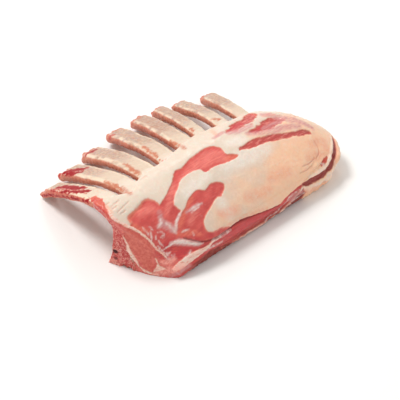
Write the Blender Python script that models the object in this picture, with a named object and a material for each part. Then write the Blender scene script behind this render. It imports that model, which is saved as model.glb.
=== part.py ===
# Raw rack of lamb, fat side up: eight cleaned rib bones curve down to their tips on one side,
# the loin under its layers of muscle and fat lies on the other, and the chine bone runs below.
# Metres, +Z up. +X runs along the spine, +Y points to the rib tips, the origin is under the middle.
import math

import bmesh
import bpy
from mathutils import Vector
from mathutils.geometry import tessellate_polygon

CM = 0.01                      # the tables and sizes below are in centimetres
GAP = 0.03                     # clearance between pieces that touch
MIDDLE = (-0.455, 1.149)       # middle of the rack in the plan that the tables use

# Plan of the loin: where its two cut ends lie, read at each distance across it (y, x)
NEAR_END = [(-7.4, -8.6), (-5.0, -10.2), (-2.2, -11.9), (2.5, -11.6)]
FAR_END = [(-7.4, 8.0), (-6.4, 9.9), (-5.0, 10.9), (-3.6, 11.0), (-2.2, 10.0), (0.0, 7.5), (1.5, 5.8)]
FAR_TUCK = 1.1                 # how far the foot of the far end draws back under its bulge
TUCK_HEIGHT = 1.6
TUCK_POWER = 2                 # above 1 the foot draws back in a hollow curve
NEAR_BELLY = 0.5               # how far the foot of the near cut face swells forward
BELLY_FROM, BELLY_TO = -3.4, -7.6
BELLY_HEIGHT = 2.0
BELLY_POWER = 1.5

# Rib-side edge of the flesh along the loin (share of the length, y)
RIB_SIDE = [(0.0, -0.3), (0.06, -0.8), (0.12, -1.6), (0.16, -1.5), (0.22, -0.8), (0.34, -0.5),
            (0.47, 0.0), (0.57, 0.4), (0.67, 0.2), (0.79, -0.3), (0.9, 0.0), (1.0, 0.3)]

# Height of the skin side across the middle of the loin (y, z), and how much lower its ends lie
CROWN = [(-7.0, 2.3), (-6.0, 3.4), (-4.5, 4.6), (-3.0, 5.3), (-1.5, 5.55), (0.0, 5.3), (1.0, 5.0)]
NEAR_DROP = [(-7.0, 1.7), (-6.0, 1.9), (-5.0, 1.5), (-4.1, 1.15), (-3.2, 0.9), (-2.0, 0.5), (0.0, 0.1)]
FAR_DROP = [(-7.0, 0.5), (-6.0, 1.4), (-4.5, 2.5), (-3.0, 2.8), (-1.5, 2.4), (0.5, 1.5)]
NEAR_REACH = 0.22              # share of the length over which the near end sinks
FAR_REACH = 0.26               # the same at the far end
NEAR_SINK_POWER, FAR_SINK_POWER = 2, 2.2  # above 1 the ends sink faster and faster
FAR_HOLLOW = 0.40              # how much of its height the hollow loses at the far end
BROW = -6.9                    # y where the skin side turns down to the outer side
BROW_SHARE = 0.80              # share of the run across at which the brow lies
SIDE_BULGE = 0.42              # how far the outer side swells past the brow
BULGE_HIGH, BULGE_FULL = 0.9, 0.8  # powers: below 1 they lift the middle of the bulge and fill it out
CORE_Y, CORE_Z = -4.0, 0.6     # depths are measured towards this line, straight down on its rib side
LEAST_RISE = 0.05              # keeps that direction defined at the foot

# Layers that show at the cut ends, in the bare patches and along the outer side
FAT = 0.34
FAT_AT_RIBS = 0.12             # the fat thins out towards the rib side
FAT_RIM = 0.07                 # its thickness along the edge of a bare patch
RIM_WIDTH = 0.55               # distance from a patch at which it is full again
CAP_MUSCLE = 0.55
SEAM_FAT = 0.22
THINNEST = 0.06                # thickness that a layer keeps where it runs out
LAYERS_GROW = 0.09             # share of the length over which the inner layers reach their thickness
LAYERS_FADE = 0.92             # share of the length from which they run out again
LAYERS_RIB_SIDE = (0.32, 0.48)  # shares across between which they start
CAP_FADE = 0.81                # shares across from which the cap muscle and the seam fat run out
SEAM_FADE = 0.87
FAT_FULL = 0.22                # share across from which the fat is full
FAT_GROW = (-0.02, 0.09)       # shares of the length over which it thickens from the near end
PATCH_LIP = -0.1               # distance inside a patch at which the fat is down to its rim
FLAP_SET_BACK = 0.15           # the muscle under the flap of fat stands back by this
SEAM_SET_BACK = 0.06

# Inner wall of the hollow under the ribs (y, z), from the surface upwards, and the back of the chine
WALL = [(-2.05, 0.0), (-2.2, 0.45), (-2.42, 1.2), (-2.48, 2.2), (-2.5, 3.3), (-2.3, 4.05), (-1.85, 4.5)]
CHINE_BACK = [(-4.15, 0.0), (-4.0, 0.6), (-3.6, 1.6), (-3.35, 2.6), (-3.2, 3.3)]
CHINE_TOP = 3.3
WALL_CLEAR = 4                 # the wall's points from here up are meat, those below it are bone
VERTEBRAE = 8
VERTEBRA_SWELL = 0.14
ROOF_RECESS = 0.18             # the flesh between two ribs lies this far above their undersides

# Ribs: x of the side nearest the near end at the arch and at the tip, y of the tip, lift of the tip,
# how much lower the arch is than that of the middle ribs, and the widths at the arch and at the tip
RIBS = [(-11.85, -11.35, 7.40, 0.05, 0.12, 2.0, 1.45), (-9.55, -9.10, 7.85, 0.2, 0.0, 1.85, 2.1),
        (-7.47, -6.03, 8.60, 0.05, 0.0, 2.0, 2.1), (-5.07, -2.74, 9.20, 0.2, 0.0, 1.85, 1.9),
        (-2.82, 0.12, 9.25, 0.2, 0.0, 1.8, 1.8), (-0.82, 2.68, 9.25, 0.1, 0.0, 1.25, 1.38),
        (1.52, 4.59, 8.65, 0.05, 0.0, 1.32, 1.47), (3.94, 7.27, 7.90, 0.05, 0.46, 1.3, 1.6)]
RIB_THICK = 0.76
TIP_SWELL = 0.3                # how much thicker a rib is at its tip
TIP_POWER = 3                  # above 1 it thickens mostly near the tip
RIB_SQUARE = 0.6               # 1 makes the section of a rib an ellipse, 0 a box
ARCH_Y, ARCH_Z = -1.0, 4.45    # the undersides of the ribs are highest here
ARCH_POWER = 1.45
ROOF_RUN = 10.0                # the roof of the hollow falls like a rib with its tip this far from the arch
ROOT_Y, ROOT_Z = -2.80, 3.55   # the root of each rib turns down to the top of the chine bone
ROOT_THIN = 0.45               # how much thinner a rib is at its root

# Patches where the fat is trimmed away: places along each streak and its half width (x, y, half width)
BARE_PATCHES = [
    [(-12.2, -4.6, 1.1), (-10.6, -4.9, 1.45), (-9.0, -5.6, 1.75), (-7.6, -6.6, 1.7)],
    [(-10.4, -3.5, 0.45), (-9.3, -3.5, 0.72), (-8.7, -4.2, 0.8)],
    [(-7.5, -4.6, 0.5), (-6.8, -3.7, 0.36), (-5.6, -2.8, 0.34), (-4.0, -2.5, 0.4), (-2.5, -2.6, 0.72),
     (-1.2, -2.75, 0.7), (-0.3, -3.5, 0.16)],
    [(-7.0, -6.0, 0.8), (-5.8, -5.3, 0.68), (-4.7, -4.95, 0.5), (-3.6, -5.0, 0.34), (-2.8, -4.85, 0.3)],
    [(1.3, -3.3, 0.12), (2.4, -3.35, 0.34), (4.2, -3.7, 0.36), (6.2, -4.15, 0.28), (7.8, -4.4, 0.12)],
    [(2.8, -2.62, 0.1), (3.9, -2.72, 0.38), (5.3, -2.6, 0.55), (6.5, -2.6, 0.28)],
    [(1.2, -1.15, 0.15), (2.4, -1.1, 0.32), (3.7, -1.15, 0.45), (4.8, -1.2, 0.35)],
    [(5.6, -8.2, 1.1), (8.2, -7.9, 1.3), (10.6, -6.2, 1.15), (11.5, -4.2, 1.35), (11.2, -2.6, 1.0)],
]

LEAST_HALF_WIDTH = 0.05        # of the cutter at the point of a streak
CUT_FROM, CUT_TO = -1.0, 7.0   # heights between which a patch's cutter runs

# Numbers of steps
ALONG = 28                     # along the loin
RIB_SIDES = 10
RIB_STEPS = 9                  # from a rib's tip to the arch
ROOT_STEPS = 3                 # from the arch to the root
VERTEBRA_STEPS = 3             # along each vertebra
STREAK_STEPS = 4               # between two places of a streak
FOOT_STEPS = 5                 # from the outer foot to the chine
ROOF_SHARES = (0.33, 0.66, 1.0)  # places of the points from the hollow's wall to the rib side

# Lines along the loin that every layer shares, from the rib side (0) over the brow (0.8) to the foot (1)
LINES = [0.05 * k for k in range(17)] + [0.83, 0.86, 0.885, 0.91, 0.955, 1.0]
FAT_LINES = (0, 16)
CAP_LINES = (6, 18)
SEAM_LINES = (7, 20)


def blend(low, high, share):
    return low + (high - low) * share


def smooth_share(value, start, end):
    share = min(1.0, max(0.0, (value - start) / (end - start)))
    return share * share * (3.0 - 2.0 * share)


def read(table, x):
    """Value at x of a smooth curve through the table's points."""
    if x <= table[0][0]:
        return table[0][1]
    if x >= table[-1][0]:
        return table[-1][1]
    i = max(k for k in range(len(table) - 1) if table[k][0] <= x)

    def slope(k):
        before = table[max(k - 1, 0)]
        after = table[min(k + 1, len(table) - 1)]
        return (after[1] - before[1]) / (after[0] - before[0])

    span = table[i + 1][0] - table[i][0]
    t = (x - table[i][0]) / span
    rise = 3 * t ** 2 - 2 * t ** 3
    return (blend(table[i][1], table[i + 1][1], rise)
            + span * ((t ** 3 - 2 * t ** 2 + t) * slope(i) + (t ** 3 - t ** 2) * slope(i + 1)))


def along_point(v, y, z):
    """Point at a share v of the way from the near end to the far end."""
    tuck = FAR_TUCK * max(0.0, 1.0 - z / TUCK_HEIGHT) ** TUCK_POWER
    across = min(1.0, max(0.0, (y - BELLY_FROM) / (BELLY_TO - BELLY_FROM)))
    belly = NEAR_BELLY * math.sin(math.pi * across) * max(0.0, 1.0 - z / BELLY_HEIGHT) ** BELLY_POWER
    return Vector((blend(read(NEAR_END, y) - belly, read(FAR_END, y) - tuck, v), y, z))


def far_sink(v):
    """How far the far end sinks at a share v of the length, from 0 to 1."""
    return max(0.0, (v - 1.0 + FAR_REACH) / FAR_REACH) ** FAR_SINK_POWER


def crown_height(v, y):
    near = max(0.0, 1.0 - v / NEAR_REACH) ** NEAR_SINK_POWER
    return read(CROWN, y) - near * read(NEAR_DROP, y) - far_sink(v) * read(FAR_DROP, y)


def across_point(v, q):
    """Point (y, z) of the outer skin, q running from the rib side over the brow to the foot."""
    if q < BROW_SHARE:
        y = blend(read(RIB_SIDE, min(max(v, 0.0), 1.0)), BROW, q / BROW_SHARE)
        return y, crown_height(v, y)
    turn = (q - BROW_SHARE) / (1.0 - BROW_SHARE)
    bulge = SIDE_BULGE * max(0.0, math.sin(math.pi * turn ** BULGE_HIGH)) ** BULGE_FULL
    return BROW - bulge, crown_height(v, BROW) * (1.0 - turn)


def skin(v, q, depth):
    """Point of the loin at a depth below its outer skin, measured towards the core of the meat."""
    y, z = across_point(v, q)
    out = Vector((min(y - CORE_Y, 0.0), max(z - CORE_Z, LEAST_RISE))).normalized()
    return along_point(v, y - out.x * depth, max(z - out.y * depth, 0.0))


def patch_clearance(x, y):
    """Distance from a place in plan to the nearest bare patch, below 0 inside one."""
    nearest = math.inf
    for streak in BARE_PATCHES:
        for (ax, ay, a_half), (bx, by, b_half) in zip(streak, streak[1:]):
            run = Vector((bx - ax, by - ay))
            share = min(1.0, max(0.0, run.dot(Vector((x - ax, y - ay))) / run.length_squared))
            away = (Vector((x - ax, y - ay)) - run * share).length
            nearest = min(nearest, away - blend(a_half, b_half, share))
    return nearest


def layer_share(v, q):
    """1 where the two inner layers have their full thickness, 0 where they run out."""
    ends = min(smooth_share(v, 0.0, LAYERS_GROW), 1.0 - smooth_share(v, LAYERS_FADE, 1.0))
    return min(ends, smooth_share(q, *LAYERS_RIB_SIDE))


def fat_floor(v, q):
    """Depth of the underside of the fat, which thins out round the bare patches."""
    at = skin(v, q, 0.0)
    full = blend(FAT_AT_RIBS, FAT, smooth_share(q, 0.0, FAT_FULL) * smooth_share(v, *FAT_GROW))
    return blend(FAT_RIM, full, smooth_share(patch_clearance(at.x, at.y), PATCH_LIP, RIM_WIDTH))


def cap_top(v, q):
    return fat_floor(v, q) + GAP if q <= LINES[FAT_LINES[1]] else FLAP_SET_BACK


def cap_floor(v, q):
    full = layer_share(v, q) * (1.0 - smooth_share(q, CAP_FADE, LINES[CAP_LINES[1]]))
    return cap_top(v, q) + blend(THINNEST, CAP_MUSCLE, full)


def seam_top(v, q):
    if q < LINES[CAP_LINES[0]]:
        return cap_top(v, q)
    return cap_floor(v, q) + GAP if q <= LINES[CAP_LINES[1]] else SEAM_SET_BACK


def seam_floor(v, q):
    full = layer_share(v, q) * (1.0 - smooth_share(q, SEAM_FADE, LINES[SEAM_LINES[1]]))
    return seam_top(v, q) + blend(THINNEST, SEAM_FAT, full)


def body_top(v, q):
    """Depth at which the meat of the loin starts under whichever layers lie over it."""
    if q < LINES[CAP_LINES[0]]:
        return fat_floor(v, q) + GAP
    if q < LINES[SEAM_LINES[0]]:
        return cap_floor(v, q) + GAP
    return seam_floor(v, q) + GAP if q <= LINES[SEAM_LINES[1]] else 0.0


def roof_height(v, y):
    fall = max(0.0, y - ARCH_Y) / ROOF_RUN
    return (ARCH_Z * (1.0 - fall ** ARCH_POWER) + ROOF_RECESS) * (1.0 - FAR_HOLLOW * far_sink(v))


def mesh_from(shape, name):
    bmesh.ops.triangulate(shape, faces=shape.faces)
    bmesh.ops.recalc_face_normals(shape, faces=shape.faces)
    mesh = bpy.data.meshes.new(name)
    shape.to_mesh(mesh)
    shape.free()
    return mesh


def loft(name, rings, turn_back=None, flat_ends=False):
    """Solid through rings of equal count, closed at each end.

    Every side is split into triangles along one diagonal, and along the other one from the point
    where the rings turn back, so that the two faces of a sheet are split alike.
    """
    shape = bmesh.new()
    rows = [[shape.verts.new(point * CM) for point in ring] for ring in rings]
    count = len(rows[0])
    for row, following in zip(rows, rows[1:]):
        for i in range(count):
            j = (i + 1) % count
            if turn_back is None or i < turn_back:
                shape.faces.new((row[i], row[j], following[j]))
                shape.faces.new((row[i], following[j], following[i]))
            else:
                shape.faces.new((row[i], row[j], following[i]))
                shape.faces.new((row[j], following[j], following[i]))
    for row in (rows[0], rows[-1]):
        if flat_ends:
            shape.faces.new(row)
            continue
        across = [Vector((0.0, vert.co.y, vert.co.z)) for vert in row]
        for corners in tessellate_polygon([across]):
            shape.faces.new([row[k] for k in corners])
    return mesh_from(shape, name)


def layer(name, lines, top, floor):
    """Closed sheet between two depths below the skin; each ring runs out on top and back below."""
    shares = LINES[lines[0]:lines[1] + 1]
    rings = []
    for i in range(ALONG + 1):
        v = i / ALONG
        ring = [skin(v, q, top(v, q)) for q in shares]
        ring += [skin(v, q, floor(v, q)) for q in reversed(shares)]
        rings.append(ring)
    return loft(name, rings, len(shares))


def loin_ring(v):
    """Outline of the meat at one station: skin side, foot, back and top of the chine, wall and roof."""
    ring = [skin(v, q, body_top(v, q)) for q in LINES]
    foot = ring[-1].y
    lowered = 1.0 - FAR_HOLLOW * far_sink(v)
    back, back_z = CHINE_BACK[0]
    ring += [along_point(v, blend(foot, back - GAP, i / FOOT_STEPS), back_z) for i in range(1, FOOT_STEPS)]
    ring += [along_point(v, y - GAP, z * lowered) for y, z in CHINE_BACK]
    ring.append(along_point(v, CHINE_BACK[-1][0], CHINE_BACK[-1][1] * lowered + GAP))
    ring += [along_point(v, y, z * lowered + (GAP if z == CHINE_TOP else 0.0)) for y, z in WALL[WALL_CLEAR:]]
    edge = read(RIB_SIDE, v)
    for share in ROOF_SHARES:
        y = blend(WALL[-1][0], edge, share)
        ring.append(along_point(v, y, roof_height(v, y)))
    return ring


def rib_path(tip_y, lift, drop):
    """Centre line (y, z) of a rib from its tip over the arch and down to its root."""
    path = []
    for i in range(RIB_STEPS + 1):
        y = blend(tip_y, ARCH_Y, i / RIB_STEPS)
        fall = ((y - ARCH_Y) / (tip_y - ARCH_Y)) ** ARCH_POWER
        path.append((y, blend(ARCH_Z - drop, lift, fall) + RIB_THICK / 2))
    for i in range(1, ROOT_STEPS + 1):
        angle = math.pi / 2 * i / ROOT_STEPS
        path.append((blend(ARCH_Y, ROOT_Y, math.sin(angle)),
                     blend(ROOT_Z, ARCH_Z - drop + RIB_THICK / 2, math.cos(angle))))
    return path


def rib_rings(spec, grow):
    root_x, tip_x, tip_y, lift, drop, root_wide, tip_wide = spec
    path = rib_path(tip_y, lift, drop)
    rings = []
    for i, (y, z) in enumerate(path):
        before = path[max(i - 1, 0)]
        after = path[min(i + 1, len(path) - 1)]
        run = Vector((0.0, after[0] - before[0], after[1] - before[1])).normalized()
        out = Vector((1.0, 0.0, 0.0)).cross(run)
        share = (y - ARCH_Y) / (tip_y - ARCH_Y)
        flare = max(0.0, share) ** TIP_POWER
        side = max(blend(root_x, tip_x, share), read(NEAR_END, y))
        wide = blend(root_wide, tip_wide, max(0.0, share)) / 2
        root = smooth_share(y, ARCH_Y, ROOT_Y)
        thick = RIB_THICK / 2 * (1.0 + TIP_SWELL * flare - ROOT_THIN * root)
        centre = Vector((side + wide, y, z)) - out * RIB_THICK / 2 * TIP_SWELL * flare
        if i in (0, len(path) - 1):
            centre += run * (grow if i else -grow)
        ring = []
        for k in range(RIB_SIDES):
            angle = 2 * math.pi * (k + 0.5) / RIB_SIDES
            c, s = math.cos(angle), math.sin(angle)
            ring.append(centre + Vector((wide + grow, 0, 0)) * math.copysign(abs(c) ** RIB_SQUARE, c)
                        + out * (thick + grow) * math.copysign(abs(s) ** RIB_SQUARE, s))
        rings.append(ring)
    return rings


def chine_rings():
    """Rings along the row of vertebrae, each of which swells a little into the hollow."""
    rings = []
    steps = VERTEBRA_STEPS * VERTEBRAE
    for i in range(steps + 1):
        v = i / steps
        swell = VERTEBRA_SWELL * abs(math.sin(math.pi * v * VERTEBRAE))
        lowered = 1.0 - FAR_HOLLOW * far_sink(v)
        outline = [(y + swell, z) for y, z in WALL[:WALL_CLEAR + 1]]
        outline += CHINE_BACK[::-1]
        rings.append([along_point(v, y, z * lowered) for y, z in outline])
    return rings


def streak_outline(streak):
    """Closed outline of a streak that tapers as its half widths say, with rounded ends."""
    count = STREAK_STEPS * (len(streak) - 1)
    marks = [float(k) for k in range(len(streak))]
    line = []
    for i in range(count + 1):
        at = marks[-1] * i / count
        line.append([read(list(zip(marks, [p[k] for p in streak])), at) for k in range(3)])
    left, right = [], []
    for i, (x, y, half) in enumerate(line):
        before, after = line[max(i - 1, 0)], line[min(i + 1, count)]
        run = Vector((after[0] - before[0], after[1] - before[1])).normalized()
        half = max(half, LEAST_HALF_WIDTH)
        left.append((x - run.y * half, y + run.x * half))
        right.append((x + run.y * half, y - run.x * half))
    caps = []
    for (x, y, half), (bx, by, _) in ((line[-1], line[-2]), (line[0], line[1])):
        run = Vector((x - bx, y - by)).normalized()
        half = max(half, LEAST_HALF_WIDTH)
        caps.append([(x + half * (run.x * math.sin(a) - run.y * math.cos(a)),
                      y + half * (run.y * math.sin(a) + run.x * math.cos(a)))
                     for a in (math.pi * k / 4 for k in (1, 2, 3))])
    return left + caps[0] + right[::-1] + caps[1]


def prism(name, outline):
    """Upright cutter through the whole height of the loin."""
    shape = bmesh.new()
    base = shape.faces.new([shape.verts.new(Vector((x, y, CUT_FROM)) * CM) for x, y in outline])
    raised = bmesh.ops.extrude_face_region(shape, geom=[base])
    moved = [item for item in raised["geom"] if isinstance(item, bmesh.types.BMVert)]
    bmesh.ops.translate(shape, verts=moved, vec=Vector((0, 0, CUT_TO - CUT_FROM)) * CM)
    return mesh_from(shape, name)


def material(name, colour, roughness):
    made = bpy.data.materials.new(name)
    made.use_nodes = True
    shader = made.node_tree.nodes["Principled BSDF"]
    shader.inputs["Base Color"].default_value = (*colour, 1.0)
    shader.inputs["Roughness"].default_value = roughness
    shader.inputs["Metallic"].default_value = 0.0
    made.diffuse_color = (*colour, 1.0)
    return made


class Bench:
    """Holds the rack's collection, its parent empty and the groups of cutters."""

    def __init__(self):
        self.rack = self.new_collection("rack_of_lamb", bpy.context.scene.collection)
        self.cutters = self.new_collection("cutters", bpy.context.scene.collection)
        self.stand = bpy.data.objects.new("rack", None)
        self.stand.location = Vector((-MIDDLE[0], -MIDDLE[1], 0.0)) * CM
        self.rack.objects.link(self.stand)

    def new_collection(self, name, parent):
        made = bpy.data.collections.new(name)
        parent.children.link(made)
        return made

    def piece(self, name, mesh, finish):
        made = bpy.data.objects.new(name, mesh)
        mesh.materials.append(finish)
        self.rack.objects.link(made)
        made.parent = self.stand
        return made

    def cutter(self, name, mesh):
        made = bpy.data.objects.new(name, mesh)
        made.hide_render = True
        made.display_type = "WIRE"
        self.cutters.objects.link(made)
        made.parent = self.stand
        return made

    def cut(self, piece, tools):
        """Boolean difference by each cutter in turn. The exact solver leaves these fine meshes open."""
        for item in tools:
            made = piece.modifiers.new(item.name, "BOOLEAN")
            made.operation = "DIFFERENCE"
            made.solver = "MANIFOLD"
            made.object = item


def clear_scene():
    for item in list(bpy.data.objects):
        bpy.data.objects.remove(item, do_unlink=True)


def patch_cutters(bench):
    return [bench.cutter(f"bare_patch_{number}", prism(f"bare_patch_{number}", streak_outline(streak)))
            for number, streak in enumerate(BARE_PATCHES, 1)]


def rib_cutters(bench):
    cutters = []
    for number, spec in enumerate(RIBS, 1):
        name = f"rib_room_{number}"
        cutters.append(bench.cutter(name, loft(name, rib_rings(spec, GAP), flat_ends=True)))
    return cutters


def build_rack():
    clear_scene()
    bench = Bench()
    bone = material("bone", (0.74, 0.55, 0.47), 0.45)
    red_meat = material("red_meat", (0.60, 0.11, 0.11), 0.35)
    pale_meat = material("pale_meat", (0.66, 0.20, 0.19), 0.4)
    fat = material("fat", (0.86, 0.72, 0.58), 0.45)
    seam = material("seam", (0.84, 0.66, 0.58), 0.45)

    fat_cap = bench.piece("fat_cap", layer("fat_cap", FAT_LINES, lambda v, q: 0.0, fat_floor), fat)
    bench.cut(fat_cap, patch_cutters(bench))
    bench.piece("cap_muscle", layer("cap_muscle", CAP_LINES, cap_top, cap_floor), red_meat)
    bench.piece("seam_fat", layer("seam_fat", SEAM_LINES, seam_top, seam_floor), seam)
    loin = bench.piece("loin", loft("loin", [loin_ring(i / ALONG) for i in range(ALONG + 1)]), pale_meat)
    bench.cut(loin, rib_cutters(bench))
    bench.piece("chine_bone", loft("chine_bone", chine_rings()), bone)
    for number, spec in enumerate(RIBS, 1):
        bench.piece(f"rib_{number}", loft(f"rib_{number}", rib_rings(spec, 0.0), flat_ends=True), bone)


build_rack()
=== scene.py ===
import math

import bmesh
import bpy
import numpy as np
from mathutils import Matrix, Vector, noise
from mathutils.bvhtree import BVHTree


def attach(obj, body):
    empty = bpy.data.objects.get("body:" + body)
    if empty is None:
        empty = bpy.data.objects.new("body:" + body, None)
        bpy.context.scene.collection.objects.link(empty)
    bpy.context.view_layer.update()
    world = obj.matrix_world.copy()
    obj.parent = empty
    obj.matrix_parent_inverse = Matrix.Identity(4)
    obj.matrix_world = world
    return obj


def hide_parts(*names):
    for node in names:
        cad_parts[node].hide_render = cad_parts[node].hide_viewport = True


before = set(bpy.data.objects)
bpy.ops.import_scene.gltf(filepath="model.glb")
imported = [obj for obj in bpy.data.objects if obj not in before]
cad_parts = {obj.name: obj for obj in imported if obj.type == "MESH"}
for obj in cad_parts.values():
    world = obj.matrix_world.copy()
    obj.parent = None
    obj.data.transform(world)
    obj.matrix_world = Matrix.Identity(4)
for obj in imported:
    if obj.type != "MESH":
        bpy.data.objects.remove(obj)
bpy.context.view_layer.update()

# Raw rack of lamb. Places are in cm on the rack's own plan: +x along the spine away from the near cut
# face, +y towards the rib tips, z up from the surface it lies on.
cm = 0.01
mm = 0.001
middle = Vector((-0.455, 1.149, 0.0))  # middle of the rack on that plan
nearFace = [(-7.4, -8.6), (-5.0, -10.2), (-2.2, -11.9), (2.5, -11.6)]  # (y, x) of the near cut face

view = {"turn": -45.32, "tilt": 48.66, "roll": 2.58,  # degrees
        "lens": 112.7, "sensor": 36.0, "distance": 103.7,  # mm, mm, cm
        "target": (-1.49, -1.46, 0.0), "pixels": 400}  # cm on the plan, width of the photograph


def toFrame(points):
    return (np.asarray(points, float) - np.array(middle)) * cm


def toPlan(points):
    return np.asarray(points, float) / cm + np.array(middle)


def viewTurn():
    turn = Matrix.Identity(3)
    for degrees, axis in ((view["turn"], "Z"), (view["tilt"], "X"), (view["roll"], "Z")):
        turn = turn @ Matrix.Rotation(math.radians(degrees), 3, axis)
    return turn


def eyePlace():
    return Vector(toFrame(view["target"])) + viewTurn() @ Vector((0, 0, view["distance"] * cm))


def rise(value, low, high):
    share = np.clip((value - low) / (high - low), 0.0, 1.0)
    return share * share * (3.0 - 2.0 * share)


def grain(points, size, seed=0.0):
    # smooth noise from -1 to 1; size is the width of its lumps in cm, one number or one for each axis
    scaled = points / np.asarray(size, float) + seed * np.array((7.13, 3.31, 5.77))
    return np.array([noise.noise(row) for row in scaled.tolist()])


def turned(points, degrees):
    # the same points on axes turned about z, so that grain can run along a muscle
    angle = math.radians(degrees)
    out = points.copy()
    out[:, 0] = points[:, 0] * math.cos(angle) + points[:, 1] * math.sin(angle)
    out[:, 1] = points[:, 1] * math.cos(angle) - points[:, 0] * math.sin(angle)
    return out


def shaken(points, size, amount, seeds):
    # the points moved by noise, so that what is drawn through them has a ragged edge
    return points + np.stack([grain(points, size, k) * amount for k in seeds], axis=1)


def stroke(points, path, edge):
    # 1 on a brush stroke through (place, half width) rows, fading to 0 over the edge beside it
    path = np.asarray(path, float)
    clear = np.full(len(points), 99.0)
    for start, end in zip(path, path[1:]):
        run = end[:-1] - start[:-1]
        share = np.clip((points - start[:-1]) @ run / (run @ run), 0.0, 1.0)
        away = np.linalg.norm(points - start[:-1] - share[:, None] * run, axis=1)
        clear = np.minimum(clear, away - start[-1] - (end[-1] - start[-1]) * share)
    return rise(clear, edge, 0.0)


def inside(points, outline, soft):
    # 1 inside a closed outline in the plane, fading to 0 over the softness across its edge
    outline = np.asarray(outline, float)
    clear = np.full(len(points), 99.0)
    within = np.zeros(len(points), bool)
    for start, end in zip(outline, np.roll(outline, -1, axis=0)):
        run = end - start
        share = np.clip((points - start) @ run / max(run @ run, 1e-9), 0.0, 1.0)
        clear = np.minimum(clear, np.linalg.norm(points - start - share[:, None] * run, axis=1))
        crosses = (start[1] > points[:, 1]) != (end[1] > points[:, 1])
        reach = start[0] + (points[:, 1] - start[1]) * run[0] / (run[1] or 1e-9)
        within ^= crosses & (points[:, 0] < reach)
    return rise(np.where(within, clear, -clear), -soft / 2, soft / 2)


def rounded(outline, steps=3):
    # a closed outline with more points, on a smooth curve through the ones given
    outline = np.asarray(outline, float)
    before, after, last = (np.roll(outline, -k, axis=0) for k in (-1, 1, 2))
    curve = []
    for t in np.arange(steps) / steps:
        curve.append(0.5 * (2 * outline + (after - before) * t
                            + (2 * before - 5 * outline + 4 * after - last) * t * t
                            + (3 * outline - before - 3 * after + last) * t ** 3))
    return np.stack(curve, axis=1).reshape(-1, outline.shape[1])


def beside(points, path, normals):
    # cm that each point lies to the right of a line on a surface, less than 0 to its left
    nearest = np.full(len(points), 99.0)
    signed = np.zeros(len(points))
    for k, (start, end) in enumerate(zip(path, path[1:])):
        run = end - start
        out = np.cross(run, normals[k] + normals[k + 1])
        out /= np.linalg.norm(out)
        share = np.clip((points - start) @ run / (run @ run), 0.0, 1.0)
        gap = points - start - share[:, None] * run
        away = np.linalg.norm(gap, axis=1)
        closer = away < nearest
        nearest[closer] = away[closer]
        signed[closer] = (away * np.sign(gap @ out))[closer]
    return signed


# Meshes

def copyOf(node):
    # a CAD node's loose triangles as one closed mesh
    shape = bmesh.new()
    shape.from_mesh(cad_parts[node].data)
    bmesh.ops.remove_doubles(shape, verts=shape.verts, dist=0.001 * mm)
    shape.normal_update()
    return shape


def swell(shape, amount):
    for vert in shape.verts:
        vert.co += vert.normal * amount
    shape.normal_update()


def smoothed(shape, verts, passes):
    for _ in range(passes):
        bmesh.ops.smooth_vert(shape, verts=verts, factor=0.5,
                              use_axis_x=True, use_axis_y=True, use_axis_z=True)


def cutOff(shape, place, away, cuts):
    # drops what lies beyond a plane, closes the cut and makes the faces finer
    bmesh.ops.bisect_plane(shape, geom=shape.verts[:] + shape.edges[:] + shape.faces[:],
                           plane_co=place, plane_no=away, clear_outer=True)
    bmesh.ops.holes_fill(shape, edges=shape.edges)
    bmesh.ops.subdivide_edges(shape, edges=shape.edges, cuts=cuts, use_grid_fill=True)
    shape.normal_update()


def meshOf(shape, name):
    mesh = bpy.data.meshes.new(name)
    shape.to_mesh(mesh)
    shape.free()
    return mesh


def largestPart(shape):
    # drops the sealed specks that a remesh can leave inside
    left = set(shape.verts)
    best = set()
    while left:
        seed = left.pop()
        found, waiting = {seed}, [seed]
        while waiting:
            for edge in waiting.pop().link_edges:
                for vert in edge.verts:
                    if vert not in found:
                        found.add(vert)
                        waiting.append(vert)
        left -= found
        if len(found) > len(best):
            best = found
    bmesh.ops.delete(shape, geom=[v for v in shape.verts if v not in best], context="VERTS")


def skinRound(name, parts, voxel, passes):
    # one even closed skin round all the parts, smoothed
    heap = bpy.data.meshes.new(name)
    joined = bmesh.new()
    for part in parts:
        part.to_mesh(heap)
        part.free()
        joined.from_mesh(heap)
    joined.to_mesh(heap)
    joined.free()
    lump = bpy.data.objects.new(name, heap)
    bpy.context.scene.collection.objects.link(lump)
    skin = lump.modifiers.new("skin", "REMESH")
    skin.mode = "VOXEL"
    skin.voxel_size = voxel
    made = bpy.data.meshes.new_from_object(lump.evaluated_get(bpy.context.evaluated_depsgraph_get()))
    bpy.data.objects.remove(lump)
    shape = bmesh.new()
    shape.from_mesh(made)
    largestPart(shape)
    smoothed(shape, shape.verts, passes)
    return meshOf(shape, name)


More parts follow.
